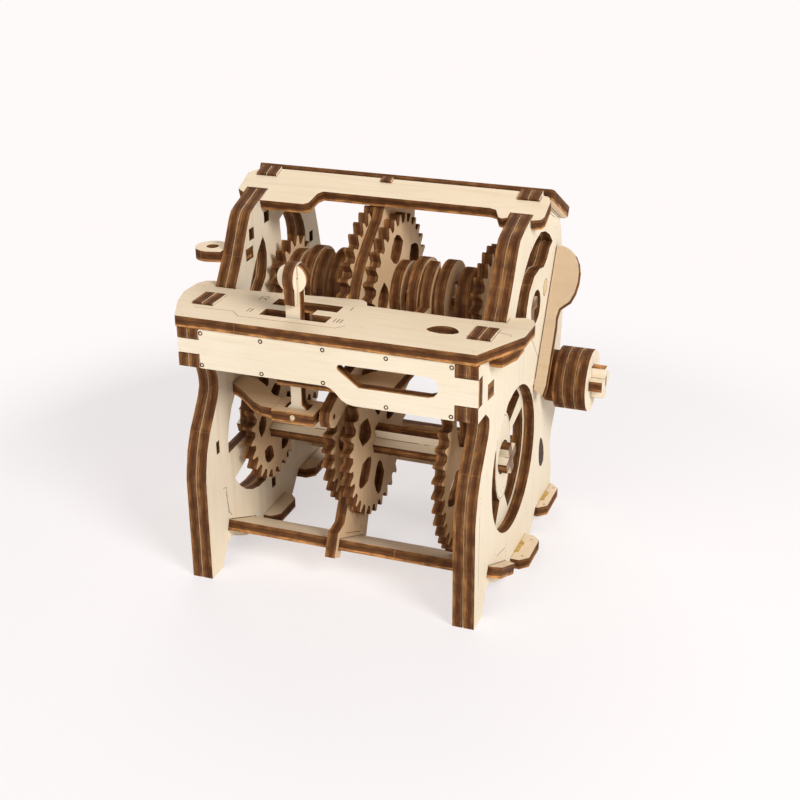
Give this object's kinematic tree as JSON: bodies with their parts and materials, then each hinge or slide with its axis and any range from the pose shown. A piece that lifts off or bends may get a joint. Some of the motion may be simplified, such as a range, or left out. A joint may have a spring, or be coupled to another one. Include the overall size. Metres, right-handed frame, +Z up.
{
  "type": "wooden gearbox model",
  "caption": "Hand cranked plywood gearbox model with a knob, layshaft, free gears, sliding dog sleeves and a shift lever in a gate, between two side frames.",
  "frame": {"origin": "middle of the bounding box, on the floor", "axes": "+X along the shafts towards the hand knob, +Y from the front panel to the back, +Z up"},
  "size_m": [0.1454, 0.1116, 0.1382],
  "materials": {
    "frame_ply": "raw laser cut birch plywood with burnt edges",
    "gear_ply": "raw laser cut birch plywood with burnt edges",
    "shaft_ply": "raw laser cut birch plywood with burnt edges",
    "handle_ply": "raw laser cut birch plywood with burnt edges",
    "dowel": "raw wood"
  },
  "bodies": {
    "frame": {"left_frame_outer": "frame_ply", "left_frame_inner": "frame_ply", "right_frame_outer": "frame_ply", "right_frame_inner": "frame_ply", "middle_frame": "frame_ply", "front_panel": "frame_ply", "shift_plate": "frame_ply", "top_beam": "frame_ply", "rear_roof_plate": "frame_ply", "bottom_bar": "frame_ply", "rear_bar": "frame_ply", "rear_shelf": "frame_ply", "front_pad_left": "frame_ply", "front_pad_right": "frame_ply", "rear_pad_left": "frame_ply", "rear_pad_right": "frame_ply", "ear_plate": "frame_ply", "wing_support": "frame_ply", "frame_peg": "dowel", "idler_axle": "dowel", "lever_bracket_left": "handle_ply"},
    "input": {"input_shaft": "shaft_ply", "input_pinion": "gear_ply", "knob_spacer": "handle_ply", "knob_disc_1": "handle_ply", "knob_disc_2": "handle_ply", "knob_disc_3": "handle_ply"},
    "layshaft": {"layshaft": "shaft_ply", "lay_gear_1": "gear_ply", "lay_gear_2": "gear_ply", "lay_gear_3": "gear_ply", "lay_gear_reverse": "gear_ply"},
    "idler": {"idler_gear": "gear_ply"},
    "gear_one": {"gear_1": "gear_ply", "dog_ring_1": "gear_ply"},
    "gear_two": {"gear_2": "gear_ply", "dog_ring_2": "gear_ply"},
    "gear_three": {"gear_3": "gear_ply", "dog_ring_3": "gear_ply"},
    "gear_reverse": {"reverse_gear": "gear_ply", "dog_ring_reverse": "gear_ply"},
    "output": {"output_shaft": "shaft_ply"},
    "sleeve_one_reverse": {"sleeve_1r_disc_left": "gear_ply", "sleeve_1r_hub": "gear_ply", "sleeve_1r_disc_right": "gear_ply"},
    "sleeve_two_three": {"sleeve_23_disc_left": "gear_ply", "sleeve_23_hub": "gear_ply", "sleeve_23_disc_right": "gear_ply"},
    "yoke": {"lever_yoke": "handle_ply", "lever_pin": "dowel"},
    "lever": {"lever_stem": "handle_ply", "lever_cross": "handle_ply"},
    "selector_two_three": {"selector_23": "frame_ply", "fork_23": "frame_ply"},
    "selector_one_reverse": {"selector_1r": "frame_ply", "fork_1r": "frame_ply"},
    "paddle": {"side_paddle": "handle_ply"}
  },
  "joints": [
    {"name": "input_spin", "type": "hinge", "parent": "frame", "child": "input", "pos_m": [-0.00531, 0.03431, 0.06114], "axis": [1, 0, 0], "continuous": true},
    {"name": "layshaft_spin", "type": "hinge", "parent": "frame", "child": "layshaft", "pos_m": [-0.00531, -0.0098, 0.0455], "axis": [1, 0, 0], "continuous": true},
    {"name": "gear_one_spin", "type": "hinge", "parent": "frame", "child": "gear_one", "pos_m": [-0.00531, 0.01419, 0.09588], "axis": [1, 0, 0], "continuous": true},
    {"name": "gear_two_spin", "type": "hinge", "parent": "frame", "child": "gear_two", "pos_m": [-0.00531, 0.01419, 0.09588], "axis": [1, 0, 0], "continuous": true},
    {"name": "gear_three_spin", "type": "hinge", "parent": "frame", "child": "gear_three", "pos_m": [-0.00531, 0.01419, 0.09588], "axis": [1, 0, 0], "continuous": true},
    {"name": "idler_spin", "type": "hinge", "parent": "frame", "child": "idler", "pos_m": [-0.00531, 0.02909, 0.06213], "axis": [1, 0, 0], "continuous": true},
    {"name": "gear_reverse_spin", "type": "hinge", "parent": "frame", "child": "gear_reverse", "pos_m": [-0.00531, 0.01419, 0.09588], "axis": [1, 0, 0], "continuous": true},
    {"name": "output_spin", "type": "hinge", "parent": "frame", "child": "output", "pos_m": [-0.00531, 0.01419, 0.09588], "axis": [1, 0, 0], "continuous": true},
    {"name": "sleeve_two_three_slide", "type": "slide", "parent": "output", "child": "sleeve_two_three", "axis": [1, 0, 0], "range_m": [-0.0032, 0.0032]},
    {"name": "sleeve_one_reverse_slide", "type": "slide", "parent": "output", "child": "sleeve_one_reverse", "axis": [1, 0, 0], "range_m": [-0.0032, 0.0032]},
    {"name": "selector_two_three_slide", "type": "slide", "parent": "frame", "child": "selector_two_three", "axis": [1, 0, 0], "range_m": [-0.0032, 0.0032]},
    {"name": "selector_one_reverse_slide", "type": "slide", "parent": "frame", "child": "selector_one_reverse", "axis": [1, 0, 0], "range_m": [-0.0032, 0.0032]},
    {"name": "lever_select", "type": "hinge", "parent": "frame", "child": "yoke", "pos_m": [-0.02081, -0.0418, 0.0675], "axis": [1, 0, 0], "range_deg": [-17, 0]},
    {"name": "lever_shift", "type": "hinge", "parent": "yoke", "child": "lever", "pos_m": [-0.02081, -0.0418, 0.0675], "axis": [0, 1, 0], "range_deg": [-12.2, 12.2]},
    {"name": "paddle_rock", "type": "hinge", "parent": "frame", "child": "paddle", "pos_m": [0.05009, 0.0167, 0.065], "axis": [1, 0, 0], "range_deg": [0, 15]}
  ],
  "couplings": [
    {"joint": "input_spin", "follows": "layshaft_spin", "ratio": -3.3333},
    {"joint": "gear_one_spin", "follows": "layshaft_spin", "ratio": -0.77143},
    {"joint": "gear_two_spin", "follows": "layshaft_spin", "ratio": -1},
    {"joint": "gear_three_spin", "follows": "layshaft_spin", "ratio": -1.8182},
    {"joint": "idler_spin", "follows": "layshaft_spin", "ratio": -0.95833},
    {"joint": "gear_reverse_spin", "follows": "layshaft_spin", "ratio": 1.3529},
    {"joint": "selector_two_three_slide", "follows": "lever_shift", "m_per_rad": 0.0148},
    {"joint": "sleeve_two_three_slide", "follows": "lever_shift", "m_per_rad": 0.0148},
    {"joint": "sleeve_one_reverse_slide", "follows": "selector_one_reverse_slide", "ratio": 1}
  ]
}
